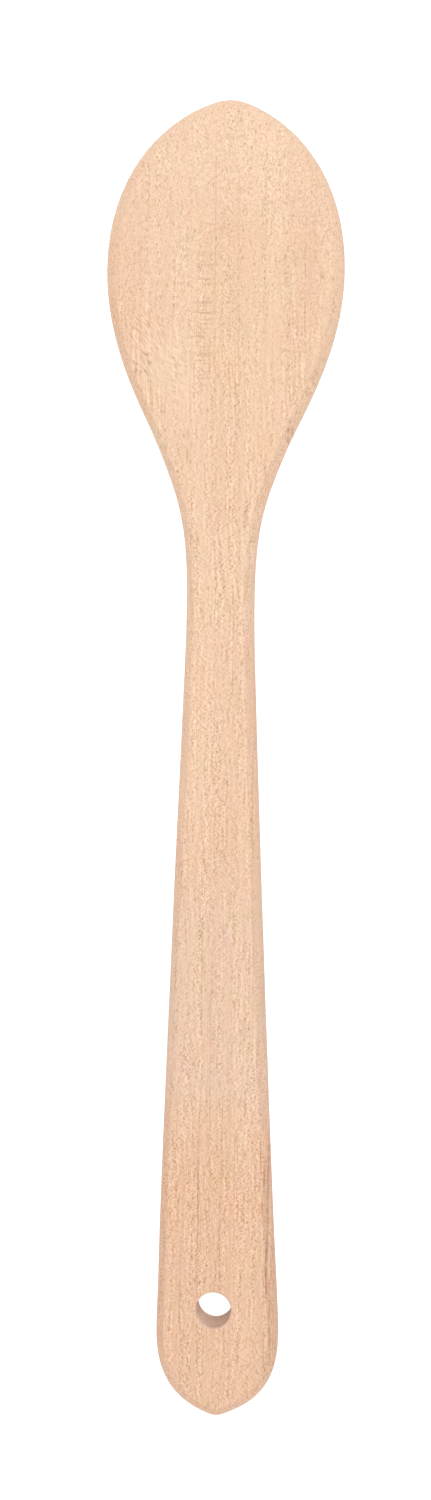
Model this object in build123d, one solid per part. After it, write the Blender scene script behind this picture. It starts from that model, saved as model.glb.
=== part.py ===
from build123d import *
import math
import os

# Flat wooden kitchen spoon, cut in one piece from a planed beech board.
# It lies on its back face: +Z is up, the head points to +Y, and the origin is under
# the middle of its length. Sizes are in millimetres, angles in degrees.

# Board
overall_length = 300.0
thickness = 8.0

# Head, measured from its tip
nose_radius = 9.0
nose_side_angle = 75.5
head_width = 53.0
widest_from_tip = 38.0

# Throat, where the side of the head turns hollow on its way to the neck
throat_width = 30.5
throat_from_tip = 75.3
throat_angle = 23.1

# Straight, tapering handle
handle_start_width = 17.3
handle_start_from_tip = 145.0
grip_width = 27.9
grip_from_end = 23.9

# Blunt point at the end of the handle
end_radius = 5.0
end_side_angle = 68.7

# Rounded edge: how far it reaches in over each face
edge_run = 2.3

# Hanging hole
hole_diameter = 8.0
hole_from_end = 26.0
hole_edge_break = 0.2

# How far the edge cutter and the drill reach past the wood
cutter_overrun = 3.0

right_angle = 90

# Reach of each side curve's end tangents, as shares of the curve's chord
crown_reach_shares = (0.13, 0.61)
cheek_reach_shares = (0.43, 0.18)
neck_reach_shares = (0.31, 0.67)
end_reach_shares = (0.29, 0.52)


def from_tip(half_width, distance):
    return Vector(half_width, overall_length / 2 - distance)


def from_end(half_width, distance):
    return Vector(half_width, distance - overall_length / 2)


def heading(angle):
    """Direction towards the handle's end, turned outwards by the angle."""
    turn = math.radians(angle)
    return Vector(math.sin(turn), -math.cos(turn))


def side_curve(start, start_heading, finish, finish_heading, reach_shares):
    chord = (finish - start).length
    start_reach, finish_reach = (share * chord for share in reach_shares)
    return Bezier(
        start,
        start + start_heading * start_reach,
        finish - finish_heading * finish_reach,
        finish,
    )


def round_point(radius, side_angle, centre_y, middle_angle):
    """Clockwise arc over the centre line, which runs into the side curves at both ends."""
    half_sweep = right_angle - side_angle
    return CenterArc((0, centre_y), radius, middle_angle + half_sweep, -2 * half_sweep)


def outline():
    """Edges of the spoon's outline, clockwise from the left of the nose."""
    nose_centre = from_tip(0, nose_radius)
    end_centre = from_end(0, end_radius)
    nose = round_point(nose_radius, nose_side_angle, nose_centre.Y, right_angle)
    end = round_point(end_radius, end_side_angle, end_centre.Y, -right_angle)
    widest = from_tip(head_width / 2, widest_from_tip)
    throat = from_tip(throat_width / 2, throat_from_tip)
    handle_start = from_tip(handle_start_width / 2, handle_start_from_tip)
    handle_finish = from_end(grip_width / 2, grip_from_end)
    straight = heading(0)
    closing = heading(-throat_angle)
    taper = (handle_finish - handle_start).normalized()
    right_side = [
        side_curve(nose @ 1, heading(nose_side_angle), widest, straight, crown_reach_shares),
        side_curve(widest, straight, throat, closing, cheek_reach_shares),
        side_curve(throat, closing, handle_start, taper, neck_reach_shares),
        Line(handle_start, handle_finish),
        side_curve(handle_finish, taper, end @ 0, heading(-end_side_angle), end_reach_shares),
    ]
    left_side = [edge.mirror(Plane.YZ) for edge in reversed(right_side)]
    return Wire([nose] + right_side + [end] + left_side)


def edge_cutter(path):
    """What a moulding cutter takes off all round: it leaves one arc from face to face."""
    tangent = path % 0
    section_plane = Plane(origin=path @ 0, x_dir=Axis.Z.direction.cross(tangent), z_dir=tangent)
    arc = ThreePointArc((-edge_run, 0), (0, thickness / 2), (-edge_run, thickness))
    waste = Polyline(
        arc @ 1,
        (-edge_run, thickness + cutter_overrun),
        (cutter_overrun, thickness + cutter_overrun),
        (cutter_overrun, -cutter_overrun),
        (-edge_run, -cutter_overrun),
        arc @ 0,
    )
    section = section_plane * make_face([arc, waste])
    return sweep(section, path)


def hanging_hole():
    """Drill with a 45 degree countersink at each face, which only breaks the rims."""
    radius = hole_diameter / 2
    flare = radius + hole_edge_break + cutter_overrun
    half_section = Polyline(
        (0, -cutter_overrun),
        (flare, -cutter_overrun),
        (radius, hole_edge_break),
        (radius, thickness - hole_edge_break),
        (flare, thickness + cutter_overrun),
        (0, thickness + cutter_overrun),
        close=True,
    )
    drill = revolve(Plane.XZ * make_face(half_section), Axis.Z)
    return Pos(from_end(0, hole_from_end)) * drill


def spoon():
    path = outline()
    board = extrude(make_face(path), thickness)
    return board - edge_cutter(path) - hanging_hole()


os.makedirs("parts", exist_ok=True)
export_step(spoon(), "parts/spoon.step")
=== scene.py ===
import math

import bmesh
import bpy
from mathutils import Matrix, Vector, noise


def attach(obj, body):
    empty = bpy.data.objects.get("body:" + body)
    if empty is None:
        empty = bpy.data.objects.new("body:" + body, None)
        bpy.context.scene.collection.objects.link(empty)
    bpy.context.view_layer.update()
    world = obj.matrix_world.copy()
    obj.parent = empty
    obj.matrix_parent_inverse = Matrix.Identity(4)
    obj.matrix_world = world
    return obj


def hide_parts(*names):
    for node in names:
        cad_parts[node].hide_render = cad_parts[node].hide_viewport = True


# Flat beech kitchen spoon, lying on its back face on a pale floor.
# Everything is in metres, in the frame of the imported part: +Y towards the tip of the
# head, +X across the spoon, +Z up out of the front face.

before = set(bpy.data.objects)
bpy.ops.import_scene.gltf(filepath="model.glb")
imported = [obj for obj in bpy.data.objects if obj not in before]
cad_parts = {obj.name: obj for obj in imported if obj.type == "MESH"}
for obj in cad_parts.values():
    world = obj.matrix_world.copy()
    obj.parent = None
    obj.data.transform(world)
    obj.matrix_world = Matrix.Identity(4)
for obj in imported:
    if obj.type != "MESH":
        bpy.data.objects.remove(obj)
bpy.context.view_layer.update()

MM = 0.001
TOUCHING = 0.001 * MM

# Outline of the board
LENGTH = 300 * MM
THICKNESS = 8 * MM
NOSE_RADIUS, NOSE_SIDE_ANGLE = 9 * MM, 75.5
HEAD_WIDTH, WIDEST_FROM_TIP = 53 * MM, 38 * MM
THROAT_WIDTH, THROAT_FROM_TIP, THROAT_ANGLE = 30.5 * MM, 75.3 * MM, 23.1
HANDLE_START_WIDTH, HANDLE_START_FROM_TIP = 17.3 * MM, 145 * MM
GRIP_WIDTH, GRIP_FROM_END = 27.9 * MM, 23.9 * MM
END_RADIUS, END_SIDE_ANGLE = 5 * MM, 68.7

# How far each side curve follows its end directions, as shares of its chord
CROWN_REACH = (0.13, 0.61)
CHEEK_REACH = (0.43, 0.18)
NECK_REACH = (0.31, 0.67)
STRAIGHT_REACH = (1 / 3, 1 / 3)
HEEL_REACH = (0.29, 0.52)
OUTLINE_STEPS = 20

# Moulded edge and its worn arris
EDGE_RUN = 2.3 * MM
EDGE_STEPS = 7
ARRIS_WIDTH = 0.28 * MM
ARRIS_STEPS = 3
LANDING_STEPS = 3
LANDING_WIDTH = 0.5 * MM
SOFT_ARRIS_FROM = [70 * MM, 80 * MM, 90 * MM, 100 * MM, 110 * MM]
SOFT_END_BELOW = [-128 * MM, -132 * MM, -136 * MM]
CREASE = math.radians(6)
FACING_UP, QUITE_LEVEL = 0.999, 0.9999

# Zones of the board that the wood's finish reads
ZONES = ("moulded", "drilled", "worn_arris")

# Hanging hole
HOLE_Y = -124 * MM
HOLE_RADIUS = 4 * MM
RIM_BREAK = 0.1 * MM
HOLE_STEPS = 64
HOLE_PATCH = 7 * MM
HOLE_SHIFT = Vector((-0.24 * MM, 0.05 * MM, 0))
HOLE_SLANT = Vector((-0.47 * MM, 0.35 * MM, 0))
TORN_RIM, TORN_SIDE = 0.45 * MM, Vector((-0.30, -0.95, 0))
CHIP_DEPTH, CHIPPED_RIM, CHIPPED_SIDE = 0.5 * MM, 0.25 * MM, Vector((-0.87, -0.50, 0))

# Cross-cuts that divide the long flats
CUT_SPACING = 6 * MM
CUT_TOLERANCE = 0.02 * MM

# How the finished board has moved and worn: a slight bow, leans of the tip and the grip,
# an end worn back, and the waves of hand sanding
BOW_DEPTH = 0.85 * MM
BOW_OFFSET = -0.28 * MM
TIP_LEAN = 0.67 * MM
TIP_LEAN_REACH = 13 * MM
LEFT_CHEEK, LEFT_CHEEK_KEEPS = 8 * MM, 0.7
GRIP_LEAN, GRIP_LEAN_REACH, GRIP_REACH = 0.18 * MM, 15 * MM, 12 * MM
END_WEAR, END_WEAR_RIGHT = 0.20 * MM, 0.30 * MM
END_WEAR_REACH, END_WEAR_WIDTH = 4 * MM, 13 * MM
SANDING_DEPTH = 0.05 * MM
SANDING_SPACING = 14 * MM

# Camera, solved from the outline, the edge and the two rims of the hole
CAMERA_PLACE = Vector((0.138, 0.198, 1.176))
CAMERA_TARGET = Vector((-0.0011, 0.0047, 0.004))
CAMERA_ROLL = math.radians(-0.51)
CAMERA_LENS, CAMERA_SENSOR = 127.6, 36

# Floor and light
FLOOR_HALF_SIZE, FLOOR_DROP = 3, 0.1 * MM
FLOOR_GREY = (0.8, 0.8, 0.8, 1)
FLOOR_ROUGHNESS, FLOOR_SPECULAR, FLOOR_GLOW = 0.9, 0.1, 0.74
WHITE = (1, 1, 1, 1)
ROOM_LIGHT, ROOM_SEEN = 0.8, 1.0
LAMP_PLACE, LAMP_TARGET = Vector((0.3, 1.05, 2.2)), Vector((0, 0, 0))
LAMP_SIZE, LAMP_POWER = 1.4, 16.4

# Colours of the bare beech
PALE_BEECH = (0.905, 0.635, 0.448, 1)
PINK_BEECH = (0.860, 0.545, 0.385, 1)
STRAW_BEECH = (0.860, 0.595, 0.392, 1)
# Colour of the grip, darkened by painted shade
SHADED_GRIP_BEECH = (0.830, 0.530, 0.356, 1)
LATE_WOOD = (0.700, 0.440, 0.300, 1)
RAY_BROWN = (0.420, 0.235, 0.140, 1)
STREAK_BROWN = (0.490, 0.225, 0.125, 1)
# Pale tint of the glints, of painted highlights and of the arris's wear
WORN_AND_HIGHLIGHT_WOOD = (0.960, 0.730, 0.560, 1)
# Colours of the hole's wall: side grain with painted light, end grain with painted shade
LIT_SIDE_GRAIN = (0.970, 0.780, 0.650, 1)
SHADED_END_GRAIN = (0.740, 0.565, 0.465, 1)
# Tint of the rounded edge's darkening: partly handling, partly painted shade
HANDLED_AND_SHADED_WOOD = (0.300, 0.060, 0.020, 1)
COOL_BEECH = (0.838, 0.583, 0.423, 1)
WARM_BEECH = (0.845, 0.530, 0.340, 1)
REDDISH_BEECH = (0.850, 0.535, 0.372, 1)

# Clouds of noise: their width and length, their detail, and a start that sets them apart.
# The slanted marks start at the turn of their patch
DRIFT = (45 * MM, 160 * MM, 1.0, 0.0)
STRAW_CLOUDS = (8 * MM, 30 * MM, 2.0, 0.0)
PALE_CLOUDS = (11 * MM, 45 * MM, 2.0, 0.0)
PINK_CLOUDS = (5 * MM, 9 * MM, 2.0, 4.4)
YELLOW_CLOUDS = (5 * MM, 9 * MM, 2.0, 9.2)
FLECKS = (0.30 * MM, 0.50 * MM, 1.0, 3.7)
FIBRES = (0.38 * MM, 8 * MM, 2.0, 8.1)
CROWDS = (1.2 * MM, 26 * MM, 1.0, 2.9)
BANDS = (1.6 * MM, 60 * MM, 2.0, 5.3)
RAY_CLOUDS = (5 * MM, 14 * MM, 2.0, 0.0)
RIPPLES = (7 * MM, 0.65 * MM, 1.0, 6.4)
# Spots of the arris's painted highlight, partly wear, and the darker dashes beside it
RUBBED_HIGHLIGHT_SPOTS = (2 * MM, 3 * MM, 2.0, 0.0)
DARK_ARRIS_DASHES = (3 * MM, 1.6 * MM, 2.0, 5.7)
SLANTED_MARKS = (0.36 * MM, 1.7 * MM, 1.0)

# How far the grain wanders sideways, and how far beside a fibre its neighbour lies
GRAIN_WANDER = 0.9 * MM
FIBRE_GAP = 0.62 * MM

# Tint of the grain's light and dark, and how much of it each kind of mark gives
GRAIN_TINT = (0.96, 0.825, 0.71)
RING_TONE, BAND_TONE, FIBRE_TONE, FLECK_TONE = 0.010, 0.012, 0.084, 0.132
NEIGHBOUR_FIBRE = -0.6
DARK_FLECKS = -0.25
SLANTED_STRENGTH = 1.1

# Colour that the pink and the yellow clouds add
PINK_SHIFT = (0.0206, -0.0050, 0.0)
YELLOW_SHIFT = (0.0, 0.0022, -0.0158)

# Growth rings, and their borders as shares of a ring's width
RING_SPACING, RING_START = 5.4 * MM, 1.5 * MM
RING_SLOPE, RING_UNEVENNESS = 0.4, 0.25
BORDER_WIDTH, NEAR_BORDER = 0.06, (0.22, 0.02)
BORDER_STRENGTH_SPREAD, BORDER_STRENGTH_LEAST = 0.8, 0.2

# Pores and rays: width and length of their cells, share of the cells with a mark, and its size.
# Glints are set like pores, in cells shifted from theirs
PORES = (0.55 * MM, 1.9 * MM, 0.40, 0.42)
GLINT_SHIFT = (0.5, 0.5, 0.5)
RAY_CELL, RAY_SIZE = (0.80 * MM, 2.0 * MM), 0.38
RAYS_BY_BORDER = 0.35
MARK_SIZE_SPREAD, MARK_SIZE_LEAST = 0.6, 0.5
MARK_STRENGTH_SPREAD, MARK_STRENGTH_LEAST = 0.7, 0.3

# How strongly each kind of mark shows
PORE_STAIN, GLINT_STAIN, RAY_STAIN, RIPPLE_STAIN = 0.32, 0.35, 0.48, 0.32

# Inner share of a mark or a patch that has no fade
SOLID_SHARE = 0.35

# Changes of a value: where it starts and ends, and the amounts there if they aren't 0 and 1.
# Along the board
# Painted shade: the colour darkens towards the grip
GRIP_SHADE_GROWS = (75 * MM, -105 * MM, 0.0, 0.86)
HUES_GROW = (60 * MM, -20 * MM, 0.85, 1.1)
FLECK_ROWS_START = (95 * MM, 65 * MM, 0.0, -0.36)
FLECK_ROWS_FADE = (40 * MM, 0.0, 1.0, 0.5)
FLECKS_FADE = (145 * MM, 110 * MM, 1.16, 1.05)
FIBRES_START = (122 * MM, 84 * MM, 0.35, 1.0)
FIBRES_FADE = (40 * MM, 5 * MM, 1.0, 0.78)
GRAIN_GROWS = (80 * MM, 50 * MM, 1.0, 1.12)
EDGE_SMOOTHS = (90 * MM, 30 * MM, 0.0, 0.25)
EDGE_ROUGHENS = (-30 * MM, -80 * MM, 1.0, 0.0)
# Darkening of the rounded edge, partly handling and partly painted shade, and where its painted shade
# reaches
EDGE_HANDLED_AND_SHADED = (-60 * MM, -100 * MM, 0.045, 0.105)
LEFT_SHADE_ALONG = (-20 * MM, -90 * MM)
RIM_SHADE_REACHES = (75 * MM, 35 * MM, 1.6 * MM, 2.8 * MM)
CLEAN_HEAD = (130 * MM, 80 * MM)
CLEAN_END = (-144 * MM, -130 * MM)
# Painted highlight on the arris, partly wear, and darker dashes along it on the grip's left
ARRIS_SHARPENS = (100 * MM, 60 * MM, 0.15, 1.0)
DARK_ARRIS_STARTS = (-5 * MM, -20 * MM)
DARK_ARRIS_FADES = (-65 * MM, -90 * MM, 0.5, 0.2)

# Across the board, and up the wall of the hole
# Painted shade on the grip's left edge
LEFT_SHADE_SIDE = (-7 * MM, -11 * MM)
# Where the darker dashes along the arris lie, on the grip's left
DARK_ARRIS_SIDE = (-2 * MM, -6 * MM)
# Painted light and shade on the wall of the hole: lighter on its left, darker on its right and towards the
# top of its right half, paler at the top of its left
WALL_SHADE_TURNS = (-3.6 * MM, 1.5 * MM)
WALL_SHADE_SIDE = (-3.6 * MM, 0.0)
WALL_SHADE_HEIGHT = (4 * MM, 7.6 * MM, 0.0, 0.35)
WALL_BARE = 0.85
WALL_BARE_HEIGHT = (6.6 * MM, 7.8 * MM, WALL_BARE, 0.2)
WALL_BARE_SIDE = (-3.6 * MM, -1 * MM)

# Over the clouds of a noise, and over a calm patch
STRAW_SHARE = (-1.0, 1.0)
PALE_SHARE = (-1.0, 1.0, 0.15, 0.75)
CROWDING = (-0.8, 0.8, 0.65, 1.6)
BORDER_SHARE = (-1.0, 0.8, 0.1, 0.55)
RAY_SHARE = (-1.2, 1.2, 0.12, 0.5)
RIPPLE_SHARE = (0.15, 0.6)
# Over the clouds of the arris's painted highlight and of its darker dashes
RUBBED_HIGHLIGHT_SHARE = (-0.8, 0.8, 0.0, 0.5)
DARK_DASH_FROM, DARK_DASH_FULL = -0.1, 0.8
CALM = (0.0, 1.0, 1.0, 0.82)

# Painted shade on the rounded edge, darkest at its middle height: strength of it, and what is added on the
# grip's left
RIM_SHADE, LEFT_GRIP_SHADE = 0.13, 0.12
RIM_SHADE_FULL = 0.2 * MM

# Sheen and relief: plain values, and what each mark and zone adds to them
ROUGHNESS, SPECULAR = 0.60, 0.35
FIBRE_ROUGHNESS, RAY_ROUGHNESS = 0.04, -0.12
EDGE_ROUGHNESS, WALL_ROUGHNESS = -0.08, 0.15
FACE_HEIGHT, RELIEF_DEPTH = 0.5, 0.02 * MM
FIBRE_HEIGHT, PORE_HEIGHT, RAY_HEIGHT, RIPPLE_HEIGHT = 0.35, -0.6, -0.8, -0.5

# Soft patches, with their place and size in millimetres: across, along, half width and half length.
# Tinted patches and specks have a tint and a strength too
TINTED_PATCHES = [
    ((5, 95, 13, 45), STRAW_BEECH, 0.6),
    ((-23, 108, 7, 22), REDDISH_BEECH, 0.4),
    ((-26, 95, 4.5, 34), WARM_BEECH, 0.35),
    ((19, 112, 4, 18), REDDISH_BEECH, 0.4),
    ((-11, 90, 7, 17), PALE_BEECH, 0.9),
    ((0, 142, 30, 22), PALE_BEECH, 0.9),
    ((4, 68, 14, 22), REDDISH_BEECH, 0.25),
    ((-4, 8, 8, 50), PALE_BEECH, 0.35),
    ((0, -55, 40, 42), COOL_BEECH, 0.8),
    ((0, -100, 40, 30), WARM_BEECH, 0.4),
    ((13.7, -113, 5, 46), RAY_BROWN, 0.13),
    ((11.3, -48, 4, 52), RAY_BROWN, 0.045),
]
CALM_PATCHES = [(17, 103, 12, 34), (5, -44, 12, 26)]
RIPPLE_PATCH = (-4.1, 102, 2.9, 20)
SPECKS = [
    ((-12.8, 81.2, 0.6, 0.8), RAY_BROWN, 0.35),
    ((-7.4, 76.2, 0.5, 1.7), RAY_BROWN, 0.26),
    ((-6.6, 74.0, 0.5, 0.9), RAY_BROWN, 0.26),
    ((-7.5, 71.6, 0.5, 2.2), RAY_BROWN, 0.32),
    ((14.9, 77.6, 0.35, 0.9), STREAK_BROWN, 0.55),
    ((14.8, 75.3, 0.35, 1.5), STREAK_BROWN, 0.55),
    ((15.7, 76.6, 0.35, 2.6), STREAK_BROWN, 0.40),
]

# Patches of slanted marks, with the turn of the marks in degrees
SLANTED_PATCHES = [((-16.5, 96, 6.5, 13), 36), ((-9.6, 91, 4, 13), 58)]

# Single streaks along the grain, in millimetres: across, upper end, lower end and half width.
# The last value is the strength
STREAKS = [
    (10.45, -82, -99, 0.26, 0.60),
    (10.9, -95, -105, 0.30, 0.90),
    (11.35, -88, -97, 0.26, 0.80),
    (12.1, -82, -105, 0.30, 0.75),
    (12.05, -104, -114, 0.36, 0.95),
    (11.9, -108, -119, 0.38, 1.0),
    (12.0, -113, -123, 0.36, 0.95),
    (12.85, -120, -137, 0.34, 0.55),
    (11.55, -127, -142, 0.26, 0.55),
    (-1.2, -32, -112, 0.22, 0.30),
    (-3.6, -76, -94, 0.24, 0.40),
    (-3.75, -88, -106, 0.30, 0.80),
    (-3.8, -102, -127, 0.27, 0.50),
    (1.65, -73, -97, 0.26, 0.50),
    (1.3, -96, -125, 0.27, 0.60),
    (-3.7, -122, -140, 0.26, 0.42),
    (-7.7, -108, -138, 0.25, 0.38),
    (4.55, -80, -100, 0.25, 0.33),
    (-3.25, -38, -67, 0.25, 0.35),
    (7.7, 8, -18, 0.26, 0.26),
    (8.05, -12, -38, 0.26, 0.26),
    (8.3, -32, -56, 0.26, 0.26),
    (3.1, 46, 15, 0.25, 0.35),
    (-1.6, 141, 107, 0.22, 0.20),
    (18.4, 122, 97, 0.22, 0.25),
    (20.6, 126, 112, 0.25, 0.25),
    (-16.6, 135, 115, 0.22, 0.22),
    (-15.9, 91, 81, 0.25, 0.40),
]
# Painted highlights beside the arris on the right of the grip, one on the face and one on the rounded edge,
# given as the streaks are
HIGHLIGHT_STREAKS = [
    (12.6, -96, -119, 0.36, 0.70),
    (10.95, -103, -123, 0.32, 0.40),
]

# How streaks waver, break up and thin out at their ends, and how far the breaks of two streaks
# are shifted for each metre that the streaks lie apart
STREAK_WAVER, STREAK_WAVES = 0.4 * MM, 90.0
STREAK_BREAKS, BREAK_SHIFT = 420.0, 37.0
STREAK_INK = (0.30, 0.58, 0.2, 1.0)
STREAK_FADE = 4 * MM


# Shape

def heading(angle):
    """Direction towards the handle's end, turned outwards by the angle."""
    turn = math.radians(angle)
    return Vector((math.sin(turn), -math.cos(turn), 0))


def from_tip(width, distance):
    return Vector((width / 2, LENGTH / 2 - distance, 0))


def from_end(width, distance):
    return Vector((width / 2, distance - LENGTH / 2, 0))


def round_reach(side_angle):
    """Reach that makes a curve over the centre line a round arc, as a share of its chord."""
    sweep = math.radians(180 - 2 * side_angle)
    share = 4 / 3 * math.tan(sweep / 4) / (2 * math.sin(sweep / 2))
    return (share, share)


def round_corner(radius, side_angle, centre):
    """Where a rounded point of that radius runs into the side curve."""
    turn = math.radians(side_angle)
    return centre + radius * Vector((math.cos(turn), math.copysign(math.sin(turn), centre.y), 0))


def outline_corners():
    """Corners of the outline with the way it runs there, clockwise from the right of the nose."""
    handle_start = from_tip(HANDLE_START_WIDTH, HANDLE_START_FROM_TIP)
    handle_finish = from_end(GRIP_WIDTH, GRIP_FROM_END)
    taper = (handle_finish - handle_start).normalized()
    nose = round_corner(NOSE_RADIUS, NOSE_SIDE_ANGLE, from_tip(0, NOSE_RADIUS))
    end = round_corner(END_RADIUS, END_SIDE_ANGLE, from_end(0, END_RADIUS))
    right = [
        (nose, heading(NOSE_SIDE_ANGLE)),
        (from_tip(HEAD_WIDTH, WIDEST_FROM_TIP), heading(0)),
        (from_tip(THROAT_WIDTH, THROAT_FROM_TIP), heading(-THROAT_ANGLE)),
        (handle_start, taper),
        (handle_finish, taper),
        (end, heading(-END_SIDE_ANGLE)),
    ]
    left = [
        (Vector((-place.x, place.y, 0)), Vector((way.x, -way.y, 0)))
        for place, way in reversed(right)
    ]
    return right + left


def outline_curve():
    corners = outline_corners()
    side = [CROWN_REACH, CHEEK_REACH, NECK_REACH, STRAIGHT_REACH, HEEL_REACH]
    back = [reach[::-1] for reach in reversed(side)]
    reaches = side + [round_reach(END_SIDE_ANGLE)] + back + [round_reach(NOSE_SIDE_ANGLE)]
    curve = bpy.data.curves.new("spoon_outline", "CURVE")
    curve.dimensions = "3D"
    curve.resolution_u = OUTLINE_STEPS
    spline = curve.splines.new("BEZIER")
    spline.bezier_points.add(len(corners) - 1)
    spline.use_cyclic_u = True
    for number, (place, way) in enumerate(corners):
        before, after = corners[number - 1][0], corners[(number + 1) % len(corners)][0]
        point = spline.bezier_points[number]
        point.handle_left_type = point.handle_right_type = "FREE"
        point.co = place
        point.handle_left = place - way * reaches[number - 1][1] * (place - before).length
        point.handle_right = place + way * reaches[number][0] * (after - place).length
    return curve


def traced_outline():
    """The outline as a ring of mesh edges."""
    holder = bpy.data.objects.new("spoon_outline", outline_curve())
    ring = bpy.data.meshes.new_from_object(holder)
    bpy.data.objects.remove(holder)
    return ring


def once_each(items):
    """The items without repeats and in their order, so that each run builds the same mesh."""
    return list(dict.fromkeys(items))


def mould_edge(board, face):
    """Takes the face up to the board's front in steps that follow the cutter's arc."""
    half = THICKNESS / 2
    radius = (half ** 2 + EDGE_RUN ** 2) / (2 * EDGE_RUN)
    sweep = math.asin(half / radius)
    for step in range(EDGE_STEPS):
        start, finish = (sweep * share / EDGE_STEPS for share in (step, step + 1))
        bmesh.ops.inset_region(
            board,
            faces=[face],
            thickness=radius * (math.cos(start) - math.cos(finish)),
            depth=radius * (math.sin(finish) - math.sin(start)),
            use_boundary=True,
            use_even_offset=True,
        )


def lay_landing(board, face):
    """Narrow strips along the border of the flat, which keep the rest of it level."""
    for step in range(LANDING_STEPS):
        bmesh.ops.inset_region(
            board, faces=[face], thickness=LANDING_WIDTH, depth=0, use_boundary=True, use_even_offset=True
        )


def wear_arris(board, arris, worn):
    """Rounds the line between the moulded edge and the flat, and marks it as worn."""
    made = bmesh.ops.bevel(
        board,
        geom=arris,
        offset=ARRIS_WIDTH,
        offset_type="OFFSET",
        affect="EDGES",
        segments=ARRIS_STEPS,
        profile=0.5,
        material=-1,
        clamp_overlap=False,
    )
    strip = set(made["faces"])
    corners = once_each(corner for part in made["faces"] for corner in part.verts)
    for vertex in corners:
        if all(part in strip for part in vertex.link_faces):
            vertex[worn] = 1.0
    beside = [edge.other_vert(vertex) for vertex in corners for edge in vertex.link_edges]
    around = once_each(corners + beside)
    rows = [[vertex for vertex in around if vertex.co.y > start] for start in SOFT_ARRIS_FROM]
    rows += [[vertex for vertex in around if vertex.co.y < start] for start in SOFT_END_BELOW]
    for soft in rows:
        bmesh.ops.smooth_vert(board, verts=soft, factor=0.5, use_axis_z=True)


def flat_faces(board):
    return [face for face in board.faces if face.normal.z > FACING_UP]


def cut_across(board, height):
    flats = flat_faces(board)
    edges = [edge for face in flats for edge in face.edges]
    corners = [vertex for face in flats for vertex in face.verts]
    geometry = once_each(flats + edges + corners)
    bmesh.ops.bisect_plane(
        board, geom=geometry, dist=CUT_TOLERANCE, plane_co=(0, height, 0), plane_no=(0, 1, 0)
    )


def drill_hole(board, drilled):
    """Opens the flat round the hole and turns the rim down to the board's middle."""
    for height in (HOLE_Y - HOLE_PATCH, HOLE_Y + HOLE_PATCH):
        cut_across(board, height)
    level = [face for face in flat_faces(board) if abs(face.calc_center_bounds().y - HOLE_Y) < MM]
    patch = max(level, key=lambda face: face.calc_area())
    border = list(patch.edges)
    bmesh.ops.delete(board, geom=[patch], context="FACES_ONLY")
    rim = bmesh.ops.create_circle(
        board,
        segments=HOLE_STEPS,
        radius=HOLE_RADIUS + 2 * RIM_BREAK,
        matrix=Matrix.Translation((0, HOLE_Y, THICKNESS)),
    )["verts"]
    edges = once_each(edge for vertex in rim for edge in vertex.link_edges)
    bmesh.ops.triangle_fill(board, edges=border + edges, use_beauty=True, normal=(0, 0, 1))
    centre = Matrix.Translation((0, -HOLE_Y, 0))
    for radius, height in (
        (HOLE_RADIUS + RIM_BREAK, THICKNESS),
        (HOLE_RADIUS, THICKNESS - RIM_BREAK),
        (HOLE_RADIUS, THICKNESS - CHIP_DEPTH),
        (HOLE_RADIUS, THICKNESS * 3 / 4),
        (HOLE_RADIUS, THICKNESS / 2),
    ):
        made = bmesh.ops.extrude_edge_only(board, edges=edges)["geom"]
        ring = [item for item in made if isinstance(item, bmesh.types.BMVert)]
        edges = [item for item in made if isinstance(item, bmesh.types.BMEdge)]
        wide = math.hypot(ring[0].co.x, ring[0].co.y - HOLE_Y)
        bmesh.ops.scale(board, verts=ring, vec=(radius / wide, radius / wide, 1), space=centre)
        bmesh.ops.translate(board, verts=ring, vec=(0, 0, height - ring[0].co.z))
        for vertex in ring:
            vertex[drilled] = 1.0


def tear_rim(place, out):
    """Moves a point of the hole outwards where the drill tore or chipped the upper rim."""
    if place.z > THICKNESS / 3:
        torn = max(0, out.dot(TORN_SIDE) / HOLE_RADIUS) ** 2 * (place.z / THICKNESS) ** 2
        place += out * TORN_RIM / HOLE_RADIUS * torn
    if place.z > THICKNESS - CHIP_DEPTH / 2:
        chipped = max(0, out.dot(CHIPPED_SIDE) / HOLE_RADIUS) ** 4
        place += out * CHIPPED_RIM / HOLE_RADIUS * chipped


def lean_grip(place):
    """Leans both sides of the grip to the right beside the hole."""
    aside = min(1, abs(place.x) / GRIP_REACH) ** 2
    place.x += GRIP_LEAN * aside * math.exp(-((place.y - HOLE_Y) / GRIP_LEAN_REACH) ** 2)


def wear_end(place):
    """Wears the end of the handle back, most of all on its right."""
    across = max(-1, min(1, place.x / END_WEAR_WIDTH))
    wear = END_WEAR * (1 + min(0, across)) + END_WEAR_RIGHT * math.sin(math.pi * max(0, across))
    place.y += wear * math.exp(-(place.y + LENGTH / 2) / END_WEAR_REACH)


def bow_board(place):
    """Bows the board sideways and leans its tip, most of all right of the left cheek."""
    share = place.y / (LENGTH / 2)
    kept = LEFT_CHEEK_KEEPS * max(0, min(1, -place.x / LEFT_CHEEK))
    lean = TIP_LEAN * (1 - kept) * math.exp((place.y - LENGTH / 2) / TIP_LEAN_REACH)
    place.x += BOW_OFFSET + BOW_DEPTH * share ** 2 + lean


def settle(board, moulded):
    """Moves the true board's points to where they are on the used spoon.

    The hole is shifted and slanted, and its rim torn and chipped. The edge has the waves of
    hand sanding. The grip leans, the end is worn back, the board is bowed and the tip leans.
    """
    for vertex in board.verts:
        place = vertex.co
        out = place - Vector((0, HOLE_Y, place.z))
        if out.length < HOLE_RADIUS + 3 * RIM_BREAK:
            tear_rim(place, out)
            place += HOLE_SHIFT + HOLE_SLANT * (THICKNESS - place.z) / THICKNESS
        elif vertex[moulded] == 1.0:
            place += vertex.normal * SANDING_DEPTH * noise.noise(place / SANDING_SPACING)
        lean_grip(place)
        wear_end(place)
        bow_board(place)


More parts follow.
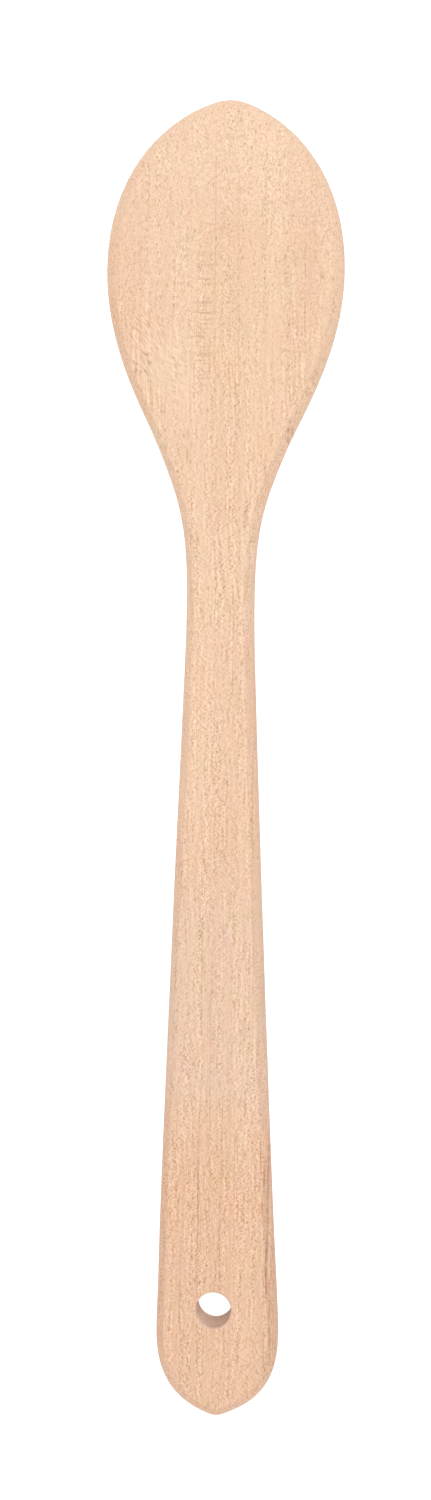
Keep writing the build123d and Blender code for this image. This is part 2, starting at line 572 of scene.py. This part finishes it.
def start_board():
    """The outline's face at half the board's height, with a layer for each zone of the wood."""
    ring = traced_outline()
    board = bmesh.new()
    board.from_mesh(ring)
    bpy.data.meshes.remove(ring)
    for zone in ZONES:
        board.verts.layers.float.new(zone)
    bmesh.ops.contextual_create(board, geom=board.edges[:])
    board.faces.ensure_lookup_table()
    face = board.faces[0]
    face.normal_update()
    if face.normal.z < 0:
        face.normal_flip()
    bmesh.ops.translate(board, verts=board.verts[:], vec=(0, 0, THICKNESS / 2))
    return board, face


def cut_flats(board):
    """Divides the long flats into short ones, all but the patch round the hole."""
    for number in range(1, int(LENGTH / CUT_SPACING)):
        height = number * CUT_SPACING - LENGTH / 2
        if abs(height - HOLE_Y) > HOLE_PATCH + CUT_SPACING / 2:
            cut_across(board, height)


def mirror_down(board):
    """Adds the lower half of the board."""
    middle = Matrix.Translation((0, 0, -THICKNESS / 2))
    half = board.verts[:] + board.edges[:] + board.faces[:]
    bmesh.ops.mirror(board, geom=half, matrix=middle, merge_dist=TOUCHING, axis="Z")
    bmesh.ops.remove_doubles(board, verts=board.verts[:], dist=TOUCHING)
    bmesh.ops.recalc_face_normals(board, faces=board.faces[:])
    board.normal_update()


def shade_sides(board):
    """Shades everything smooth, but keeps a crease where a flat meets what isn't flat."""
    for face in board.faces:
        face.smooth = True
    for edge in board.edges:
        level = [abs(face.normal.z) > QUITE_LEVEL for face in edge.link_faces]
        edge.smooth = all(level) or not any(level) or edge.calc_face_angle() < CREASE


def sort_parts(board):
    """Lists edges and faces by their corners, since cuts leave them in no fixed order."""
    board.verts.index_update()
    for parts in (board.edges, board.faces):
        ordered = sorted(parts, key=lambda part: sorted(corner.index for corner in part.verts))
        for number, part in enumerate(ordered):
            part.index = number
        parts.sort()


def make_spoon():
    board, face = start_board()
    moulded, drilled, worn = (board.verts.layers.float[zone] for zone in ZONES)
    mould_edge(board, face)
    for vertex in set(board.verts) - set(face.verts):
        vertex[moulded] = 1.0
    arris = list(face.edges)
    lay_landing(board, face)
    wear_arris(board, arris, worn)
    board.normal_update()
    drill_hole(board, drilled)
    board.normal_update()
    cut_flats(board)
    mirror_down(board)
    shade_sides(board)
    settle(board, moulded)
    sort_parts(board)
    mesh = bpy.data.meshes.new("beech_spoon")
    board.to_mesh(mesh)
    board.free()
    spoon = bpy.data.objects.new("beech_spoon", mesh)
    bpy.context.scene.collection.objects.link(spoon)
    return spoon


# Wood

class Wiring:
    """Adds nodes to one tree. A value given to an input is a number or another node's output."""

    def __init__(self, tree):
        self.tree = tree

    def feed(self, socket, value):
        if isinstance(value, bpy.types.NodeSocket):
            self.tree.links.new(value, socket)
        else:
            socket.default_value = value

    def put(self, kind, inputs, **settings):
        made = self.tree.nodes.new("ShaderNode" + kind)
        for name, value in settings.items():
            setattr(made, name, value)
        for name, value in inputs.items():
            self.feed(made.inputs[name], value)
        return made

    def maths(self, operation, *values):
        return self.put("Math", dict(enumerate(values)), operation=operation).outputs[0]

    def vector(self, operation, *values):
        return self.put("VectorMath", dict(enumerate(values)), operation=operation).outputs[0]

    def ramp(self, value, low, high, start=0.0, finish=1.0):
        """Runs smoothly from start to finish while the value goes from low to high."""
        sizes = {"Value": value, "From Min": low, "From Max": high, "To Min": start, "To Max": finish}
        return self.put("MapRange", sizes, interpolation_type="SMOOTHSTEP").outputs["Result"]

    def mixed(self, share, first, second):
        """Number between the first and the second."""
        return self.put("Mix", {0: share, 2: first, 3: second}).outputs[0]

    def blend(self, share, first, second):
        made = self.put("Mix", {0: share}, data_type="RGBA")
        self.feed(made.inputs[6], first)
        self.feed(made.inputs[7], second)
        return made.outputs[2]

    def field(self, place, width, length, detail, start):
        """Noise in clouds of that width and length, from about -1 to 1."""
        scale, offset = (1 / width, 1 / length, 1 / width), (start, start, start)
        stretched = self.put("Mapping", {"Vector": place, "Location": offset, "Scale": scale})
        cloud = self.put("TexNoise", {"Vector": stretched.outputs[0], "Scale": 1.0, "Detail": detail})
        return self.maths("MULTIPLY_ADD", cloud.outputs[0], 4.0, -2.0)

    def line_noise(self, value, scale):
        """Noise along one axis, from 0 to 1."""
        inputs = {"W": value, "Scale": scale, "Detail": 2.0}
        return self.put("TexNoise", inputs, noise_dimensions="1D").outputs[0]

    def stain(self, colour, mask, strength, tint):
        return self.blend(self.maths("MULTIPLY", mask, strength), colour, tint)

    def use(self, group, place, *numbers):
        """Places a group and gives it a place on the wood and its numbers, in their order."""
        made = self.tree.nodes.new("ShaderNodeGroup")
        made.node_tree = group
        for number, value in enumerate((place, *numbers)):
            self.feed(made.inputs[number], value)
        return made.outputs


def start_group(name, numbers, results):
    """Starts a group that takes a place on the wood and some numbers."""
    tree = bpy.data.node_groups.new(name, "ShaderNodeTree")
    tree.interface.new_socket("Place", in_out="INPUT", socket_type="NodeSocketVector")
    for label in numbers:
        tree.interface.new_socket(label, in_out="INPUT", socket_type="NodeSocketFloat")
    for label in results:
        tree.interface.new_socket(label, in_out="OUTPUT", socket_type="NodeSocketFloat")
    given = tree.nodes.new("NodeGroupInput").outputs
    asked = tree.nodes.new("NodeGroupOutput").inputs
    return tree, Wiring(tree), given, asked


def marks_group():
    """Short lens-shaped marks along the grain, each in a cell of its own."""
    tree, wire, given, asked = start_group(
        "wood_marks", ["Cell width", "Cell length", "Share of cells", "Mark size"], ["Mask"]
    )
    width, length = given["Cell width"], given["Cell length"]
    cell = wire.put("CombineXYZ", {"X": width, "Y": length, "Z": length}).outputs[0]
    place = wire.vector("DIVIDE", given["Place"], cell)
    cells = wire.put("TexVoronoi", {"Vector": place, "Scale": 1.0})
    chance = wire.put("SeparateXYZ", {0: cells.outputs["Color"]}).outputs
    there = wire.maths("LESS_THAN", chance["X"], given["Share of cells"])
    size = wire.maths("MULTIPLY_ADD", chance["Y"], MARK_SIZE_SPREAD, MARK_SIZE_LEAST)
    reach = wire.maths("MULTIPLY", given["Mark size"], size)
    body = wire.ramp(cells.outputs["Distance"], reach, wire.maths("MULTIPLY", reach, SOLID_SHARE))
    strength = wire.maths("MULTIPLY_ADD", chance["Z"], MARK_STRENGTH_SPREAD, MARK_STRENGTH_LEAST)
    wire.feed(asked["Mask"], wire.maths("MULTIPLY", wire.maths("MULTIPLY", body, there), strength))
    return tree


def rings_group():
    """Growth rings of uneven width: a tone for each, and its dark border."""
    tree, wire, given, asked = start_group(
        "growth_rings", ["Spacing", "Start"], ["Tone", "Border", "Near border"]
    )
    axes = wire.put("SeparateXYZ", {0: given["Place"]}).outputs
    slope = wire.maths("MULTIPLY_ADD", axes["Z"], RING_SLOPE, axes["X"])
    count = wire.maths("DIVIDE", wire.maths("ADD", slope, given["Start"]), given["Spacing"])
    row = {"W": count, "Scale": 1.0, "Randomness": RING_UNEVENNESS}
    ring = wire.put("TexVoronoi", row, voronoi_dimensions="1D")
    gap = wire.put("TexVoronoi", row, voronoi_dimensions="1D", feature="DISTANCE_TO_EDGE")
    chance = wire.put("SeparateXYZ", {0: ring.outputs["Color"]}).outputs
    wire.feed(asked["Tone"], wire.maths("MULTIPLY_ADD", chance["X"], 2.0, -1.0))
    width = gap.outputs["Distance"]
    strength = wire.maths("MULTIPLY_ADD", chance["Y"], BORDER_STRENGTH_SPREAD, BORDER_STRENGTH_LEAST)
    wire.feed(asked["Border"], wire.maths("MULTIPLY", wire.ramp(width, BORDER_WIDTH, 0.0), strength))
    wire.feed(asked["Near border"], wire.ramp(width, *NEAR_BORDER))
    return tree


def streak_group():
    """One streak along the grain that wavers, breaks up and thins out at both ends."""
    tree, wire, given, asked = start_group(
        "long_streak", ["Across", "Upper end", "Lower end", "Half width"], ["Mask"]
    )
    axes = wire.put("SeparateXYZ", {0: given["Place"]}).outputs
    waver = wire.line_noise(axes["Y"], STREAK_WAVES)
    middle = wire.maths("MULTIPLY_ADD", wire.maths("SUBTRACT", waver, 0.5), STREAK_WAVER, given["Across"])
    apart = wire.maths("ABSOLUTE", wire.maths("SUBTRACT", axes["X"], middle))
    line = wire.ramp(apart, given["Half width"], 0.0)
    below = wire.ramp(wire.maths("SUBTRACT", given["Upper end"], axes["Y"]), 0.0, STREAK_FADE)
    above = wire.ramp(wire.maths("SUBTRACT", axes["Y"], given["Lower end"]), 0.0, STREAK_FADE)
    start = wire.maths("MULTIPLY_ADD", given["Across"], BREAK_SHIFT, axes["Y"])
    ink = wire.line_noise(start, STREAK_BREAKS)
    ends = wire.maths("MULTIPLY", below, above)
    broken = wire.maths("MULTIPLY", line, wire.ramp(ink, *STREAK_INK))
    wire.feed(asked["Mask"], wire.maths("MULTIPLY", broken, ends))
    return tree


def patch_group():
    """A soft oval patch of the face."""
    tree, wire, given, asked = start_group(
        "soft_patch", ["Across", "Along", "Half width", "Half length"], ["Mask"]
    )
    centre = wire.put("CombineXYZ", {"X": given["Across"], "Y": given["Along"]}).outputs[0]
    size = wire.put("CombineXYZ", {"X": given["Half width"], "Y": given["Half length"], "Z": 1.0}).outputs[0]
    offset = wire.vector("DIVIDE", wire.vector("SUBTRACT", given["Place"], centre), size)
    reach = wire.put("VectorMath", {0: offset}, operation="LENGTH").outputs["Value"]
    wire.feed(asked["Mask"], wire.ramp(reach, 1.0, SOLID_SHARE))
    return tree


class Beech(Wiring):
    """Wiring of the bare beech, with the places and the zones of the wood that its layers read."""

    def __init__(self, tree):
        super().__init__(tree)
        self.patch = patch_group()
        self.place = tree.nodes.new("ShaderNodeTexCoord").outputs["Object"]
        self.across, self.along, self.height = self.put("SeparateXYZ", {0: self.place}).outputs
        self.moulded, self.drilled, self.worn = (
            self.put("Attribute", {}, attribute_name=zone).outputs["Fac"] for zone in ZONES
        )
        wander = self.maths("MULTIPLY", self.field(self.place, *DRIFT), GRAIN_WANDER)
        shift = self.put("CombineXYZ", {"X": wander}).outputs[0]
        self.grain = self.vector("ADD", self.place, shift)

    def masked(self, spot):
        """A soft patch that is given in millimetres."""
        return self.use(self.patch, self.place, *(size * MM for size in spot))["Mask"]

    def clean_ends(self):
        """Leaves out the head and the very end of the handle, which hands don't reach."""
        return self.maths("MULTIPLY", self.ramp(self.along, *CLEAN_HEAD), self.ramp(self.along, *CLEAN_END))


def board_colour(wood):
    """Colour that drifts from pink to straw over the board, with painted shade that darkens it towards the
    grip.
    """
    straw = wood.ramp(wood.field(wood.place, *STRAW_CLOUDS), *STRAW_SHARE)
    colour = wood.blend(straw, PINK_BEECH, STRAW_BEECH)
    pale = wood.ramp(wood.field(wood.place, *PALE_CLOUDS), *PALE_SHARE)
    colour = wood.blend(pale, colour, PALE_BEECH)
    colour = wood.blend(wood.ramp(wood.along, *GRIP_SHADE_GROWS), colour, SHADED_GRIP_BEECH)
    for spot, tint, strength in TINTED_PATCHES:
        colour = wood.stain(colour, wood.masked(spot), strength, tint)
    for clouds, hue in ((PINK_CLOUDS, PINK_SHIFT), (YELLOW_CLOUDS, YELLOW_SHIFT)):
        grown = wood.ramp(wood.along, *HUES_GROW)
        amount = wood.maths("MULTIPLY", wood.field(wood.place, *clouds), grown)
        shifted = wood.put("VectorMath", {0: hue, "Scale": amount}, operation="SCALE").outputs[0]
        colour = wood.vector("ADD", colour, shifted)
    return colour


def short_flecks(wood):
    """Short flecks in rows along the grain, which lie aslant in two patches of the head."""
    beside = wood.vector("ADD", wood.grain, (FIBRE_GAP, 0, 0))
    started, fading = wood.ramp(wood.along, *FLECK_ROWS_START), wood.ramp(wood.along, *FLECK_ROWS_FADE)
    rows = wood.maths("MULTIPLY", started, fading)
    flecks = wood.field(wood.grain, *FLECKS)
    flecks = wood.maths("MULTIPLY_ADD", wood.field(beside, *FLECKS), rows, flecks)
    for spot, turn in SLANTED_PATCHES:
        turned = {"Vector": wood.grain, "Rotation": (0, 0, math.radians(-turn))}
        slanted = wood.field(wood.put("Mapping", turned).outputs[0], *SLANTED_MARKS, turn)
        slanted = wood.maths("MULTIPLY", slanted, SLANTED_STRENGTH)
        flecks = wood.mixed(wood.masked(spot), flecks, slanted)
    return wood.maths("MULTIPLY_ADD", wood.maths("MULTIPLY", flecks, flecks), DARK_FLECKS, flecks)


def long_fibres(wood):
    """Fibres side by side, each light one with a dark neighbour."""
    beside = wood.vector("ADD", wood.grain, (FIBRE_GAP, 0, 0))
    neighbour = wood.maths("MULTIPLY", wood.field(beside, *FIBRES), NEIGHBOUR_FIBRE)
    return wood.maths("ADD", wood.field(wood.grain, *FIBRES), neighbour)


def fibre_and_fleck_strengths(wood):
    """How much the fibres and the flecks show in each part of the board."""
    smooth_edge = wood.maths("MULTIPLY", wood.moulded, wood.ramp(wood.along, *EDGE_SMOOTHS))
    smooth_edge = wood.maths("MULTIPLY", smooth_edge, wood.ramp(wood.along, *EDGE_ROUGHENS))
    plain = wood.maths("SUBTRACT", wood.ramp(wood.along, *GRAIN_GROWS), smooth_edge)
    fibrous = wood.maths("MULTIPLY", plain, wood.ramp(wood.along, *FIBRES_START))
    fibrous = wood.maths("MULTIPLY", fibrous, wood.ramp(wood.along, *FIBRES_FADE))
    flecked = wood.maths("MULTIPLY", plain, wood.ramp(wood.along, *FLECKS_FADE))
    for spot in CALM_PATCHES:
        flecked = wood.maths("MULTIPLY", flecked, wood.ramp(wood.masked(spot), *CALM))
    return fibrous, flecked


def add_grain(wood, colour, fibres, crowd, ring):
    """Growth rings, bands, long fibres and short flecks."""
    fibrous, flecked = fibre_and_fleck_strengths(wood)
    bands = wood.field(wood.grain, *BANDS)
    texture = wood.maths("MULTIPLY", wood.maths("MULTIPLY", fibres, fibrous), FIBRE_TONE)
    marks = wood.maths("MULTIPLY", short_flecks(wood), flecked)
    texture = wood.maths("MULTIPLY_ADD", marks, FLECK_TONE, texture)
    tone = wood.maths("MULTIPLY", ring["Tone"], RING_TONE)
    tone = wood.maths("MULTIPLY_ADD", bands, BAND_TONE, tone)
    tone = wood.maths("MULTIPLY_ADD", texture, crowd, tone)
    tint = wood.put("VectorMath", {0: GRAIN_TINT, "Scale": tone}, operation="SCALE").outputs[0]
    colour = wood.vector("ADD", colour, tint)
    return wood.stain(colour, ring["Border"], wood.ramp(bands, *BORDER_SHARE), LATE_WOOD)


def pores_and_rays(wood, crowd, ring):
    """Dark pores, light glints between them, and rays that crowd at the borders of the rings."""
    marks = marks_group()
    pores = wood.maths("MULTIPLY", wood.use(marks, wood.grain, *PORES)["Mask"], crowd)
    glints = wood.use(marks, wood.vector("ADD", wood.grain, GLINT_SHIFT), *PORES)["Mask"]
    rich = wood.ramp(wood.field(wood.grain, *RAY_CLOUDS), *RAY_SHARE)
    density = wood.maths("MULTIPLY_ADD", ring["Near border"], RAYS_BY_BORDER, rich)
    rays = wood.use(marks, wood.grain, *RAY_CELL, density, RAY_SIZE)["Mask"]
    return pores, glints, rays


def add_streaks(wood, colour):
    """Streaks that have a place of their own: dark streaks along the grain, and pale streaks that are
    painted highlights.
    """
    streak = streak_group()
    for streaks, tint in ((HIGHLIGHT_STREAKS, WORN_AND_HIGHLIGHT_WOOD), (STREAKS, STREAK_BROWN)):
        for *spot, strength in streaks:
            line = wood.use(streak, wood.place, *(size * MM for size in spot))["Mask"]
            colour = wood.stain(colour, line, strength, tint)
    return colour


def add_edge_wear_and_shade(wood, colour):
    """Darkens the rounded edge: a darkening that grows towards the handle's end, partly handling and partly
    painted shade, and painted shade that is darkest at the edge's middle height, most of all on the grip's
    left.
    """
    burnish_and_shade = wood.maths("MULTIPLY", wood.clean_ends(), wood.ramp(wood.along, *EDGE_HANDLED_AND_SHADED))
    burnish_and_shade = wood.maths("MULTIPLY", wood.moulded, burnish_and_shade)
    from_middle = wood.maths("ABSOLUTE", wood.maths("SUBTRACT", wood.height, THICKNESS / 2))
    reach = wood.ramp(wood.along, *RIM_SHADE_REACHES)
    left_shade = wood.ramp(wood.along, *LEFT_SHADE_ALONG)
    left_shade = wood.maths("MULTIPLY", left_shade, wood.ramp(wood.across, *LEFT_SHADE_SIDE))
    rim_shade = wood.maths("MULTIPLY_ADD", left_shade, LEFT_GRIP_SHADE, RIM_SHADE)
    painted_rim_shade = wood.maths("MULTIPLY", wood.moulded, wood.ramp(from_middle, reach, RIM_SHADE_FULL, 0.0, rim_shade))
    return wood.blend(wood.maths("ADD", burnish_and_shade, painted_rim_shade), colour, HANDLED_AND_SHADED_WOOD)


def add_hole_wall(wood, colour):
    """Wall of the hole: side grain on the left that turns to end grain, with painted light on the left and
    painted shade on the right, painted shade towards the top of the right half, and a paler top on the left
    where painted light lets the face's colour show.
    """
    wall = wood.blend(wood.ramp(wood.across, *WALL_SHADE_TURNS), LIT_SIDE_GRAIN, SHADED_END_GRAIN)
    wall_shade = wood.ramp(wood.across, *WALL_SHADE_SIDE)
    wall_shade = wood.maths("MULTIPLY", wall_shade, wood.ramp(wood.height, *WALL_SHADE_HEIGHT))
    wall = wood.blend(wall_shade, wall, RAY_BROWN)
    upper = wood.ramp(wood.height, *WALL_BARE_HEIGHT)
    bare = wood.mixed(wood.ramp(wood.across, *WALL_BARE_SIDE), upper, WALL_BARE)
    return wood.stain(colour, wood.drilled, bare, wall)


def add_arris(wood, colour):
    """Line between the edge and the face: a painted highlight in spots, partly wear that rubbed it light,
    with darker dashes on the grip's left.
    """
    sharp = wood.maths("MULTIPLY", wood.ramp(wood.along, *ARRIS_SHARPENS), wood.clean_ends())
    rubbed_highlight = wood.ramp(wood.field(wood.place, *RUBBED_HIGHLIGHT_SPOTS), *RUBBED_HIGHLIGHT_SHARE)
    rubbed_highlight = wood.maths("MULTIPLY", wood.worn, wood.maths("MULTIPLY", rubbed_highlight, sharp))
    colour = wood.blend(rubbed_highlight, colour, WORN_AND_HIGHLIGHT_WOOD)
    # Darker dashes along the arris on the grip's left
    on_left = wood.ramp(wood.across, *DARK_ARRIS_SIDE)
    on_left = wood.maths("MULTIPLY", on_left, wood.ramp(wood.along, *DARK_ARRIS_STARTS))
    dark = wood.ramp(wood.along, *DARK_ARRIS_FADES)
    dashes = wood.ramp(wood.field(wood.place, *DARK_ARRIS_DASHES), DARK_DASH_FROM, DARK_DASH_FULL, 0.0, dark)
    dark_arris = wood.maths("MULTIPLY", wood.worn, wood.maths("MULTIPLY", on_left, dashes))
    return wood.stain(colour, dark_arris, wood.clean_ends(), RAY_BROWN)


def gathered(wood, start, *amounts):
    """A plain value with a share of each mark or zone added."""
    total = start
    for mask, amount in amounts:
        total = wood.maths("MULTIPLY_ADD", mask, amount, total)
    return total


def beech():
    material = bpy.data.materials.new("beech")
    material.use_nodes = True
    wood = Beech(material.node_tree)
    ring = wood.use(rings_group(), wood.grain, RING_SPACING, RING_START)
    crowd = wood.ramp(wood.field(wood.grain, *CROWDS), *CROWDING)
    fibres = long_fibres(wood)
    pores, glints, rays = pores_and_rays(wood, crowd, ring)
    waves = wood.ramp(wood.field(wood.place, *RIPPLES), *RIPPLE_SHARE)
    ripple = wood.maths("MULTIPLY", waves, wood.masked(RIPPLE_PATCH))

    colour = add_grain(wood, board_colour(wood), fibres, crowd, ring)
    colour = wood.stain(colour, pores, PORE_STAIN, RAY_BROWN)
    colour = wood.stain(colour, glints, GLINT_STAIN, WORN_AND_HIGHLIGHT_WOOD)
    colour = wood.stain(colour, rays, RAY_STAIN, RAY_BROWN)
    colour = add_streaks(wood, colour)
    colour = wood.stain(colour, ripple, RIPPLE_STAIN, RAY_BROWN)
    for spot, tint, strength in SPECKS:
        colour = wood.stain(colour, wood.masked(spot), strength, tint)
    colour = add_arris(wood, add_hole_wall(wood, add_edge_wear_and_shade(wood, colour)))

    rough = gathered(
        wood,
        ROUGHNESS,
        (fibres, FIBRE_ROUGHNESS),
        (wood.moulded, EDGE_ROUGHNESS),
        (rays, RAY_ROUGHNESS),
        (wood.drilled, WALL_ROUGHNESS),
    )
    relief = gathered(
        wood,
        FACE_HEIGHT,
        (fibres, FIBRE_HEIGHT),
        (pores, PORE_HEIGHT),
        (rays, RAY_HEIGHT),
        (ripple, RIPPLE_HEIGHT),
    )
    bump = wood.put("Bump", {"Height": relief, "Strength": 1.0, "Distance": RELIEF_DEPTH})
    shader = material.node_tree.nodes["Principled BSDF"]
    wood.feed(shader.inputs["Base Color"], colour)
    wood.feed(shader.inputs["Roughness"], rough)
    wood.feed(shader.inputs["Normal"], bump.outputs[0])
    shader.inputs["Specular IOR Level"].default_value = SPECULAR
    return material


spoon = make_spoon()
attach(spoon, "root")
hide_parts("spoon")
spoon.data.materials.append(beech())


# Floor, light and camera

def lay_floor():
    ground = bmesh.new()
    level = Matrix.Translation((0, 0, -FLOOR_DROP))
    bmesh.ops.create_grid(ground, x_segments=1, y_segments=1, size=FLOOR_HALF_SIZE, matrix=level)
    mesh = bpy.data.meshes.new("floor")
    ground.to_mesh(mesh)
    ground.free()
    floor = bpy.data.objects.new("floor", mesh)
    bpy.context.scene.collection.objects.link(floor)
    paint = bpy.data.materials.new("white_floor")
    paint.use_nodes = True
    tree = paint.node_tree
    shader = tree.nodes["Principled BSDF"]
    shader.inputs["Base Color"].default_value = FLOOR_GREY
    shader.inputs["Roughness"].default_value = FLOOR_ROUGHNESS
    shader.inputs["Specular IOR Level"].default_value = FLOOR_SPECULAR
    shader.inputs["Emission Color"].default_value = WHITE
    rays = tree.nodes.new("ShaderNodeLightPath")
    seen = tree.nodes.new("ShaderNodeMath")
    seen.operation = "MAXIMUM"
    tree.links.new(rays.outputs["Is Camera Ray"], seen.inputs[0])
    tree.links.new(rays.outputs["Is Glossy Ray"], seen.inputs[1])
    glow = tree.nodes.new("ShaderNodeMath")
    glow.operation = "MULTIPLY"
    glow.inputs[1].default_value = FLOOR_GLOW
    tree.links.new(seen.outputs[0], glow.inputs[0])
    tree.links.new(glow.outputs[0], shader.inputs["Emission Strength"])
    mesh.materials.append(paint)


def light_room():
    world = bpy.data.worlds.new("soft_room")
    bpy.context.scene.world = world
    world.use_nodes = True
    tree = world.node_tree
    back = tree.nodes["Background"]
    back.inputs["Color"].default_value = WHITE
    rays = tree.nodes.new("ShaderNodeLightPath")
    level = tree.nodes.new("ShaderNodeMapRange")
    level.inputs["To Min"].default_value = ROOM_LIGHT
    level.inputs["To Max"].default_value = ROOM_SEEN
    tree.links.new(rays.outputs["Is Camera Ray"], level.inputs["Value"])
    tree.links.new(level.outputs[0], back.inputs["Strength"])


def hang_lamp(name, place, target, size, power):
    lamp = bpy.data.lights.new(name, "AREA")
    lamp.shape = "DISK"
    lamp.size = size
    lamp.energy = power
    holder = bpy.data.objects.new(name, lamp)
    bpy.context.scene.collection.objects.link(holder)
    holder.location = place
    holder.rotation_euler = (target - place).to_track_quat("-Z", "Y").to_euler()


def place_camera():
    back = (CAMERA_PLACE - CAMERA_TARGET).normalized()
    top = Vector((math.sin(CAMERA_ROLL), math.cos(CAMERA_ROLL), 0))
    right = top.cross(back).normalized()
    up = back.cross(right)
    camera = bpy.data.objects.new("camera", bpy.data.cameras.new("camera"))
    camera.data.lens = CAMERA_LENS
    camera.data.sensor_width = CAMERA_SENSOR
    turn = Matrix((right, up, back)).transposed().to_4x4()
    camera.matrix_world = Matrix.Translation(CAMERA_PLACE) @ turn
    bpy.context.scene.collection.objects.link(camera)
    bpy.context.scene.camera = camera


lay_floor()
light_room()
hang_lamp("head_lamp", LAMP_PLACE, LAMP_TARGET, LAMP_SIZE, LAMP_POWER)
place_camera()

bpy.context.scene.view_settings.view_transform = "Standard"
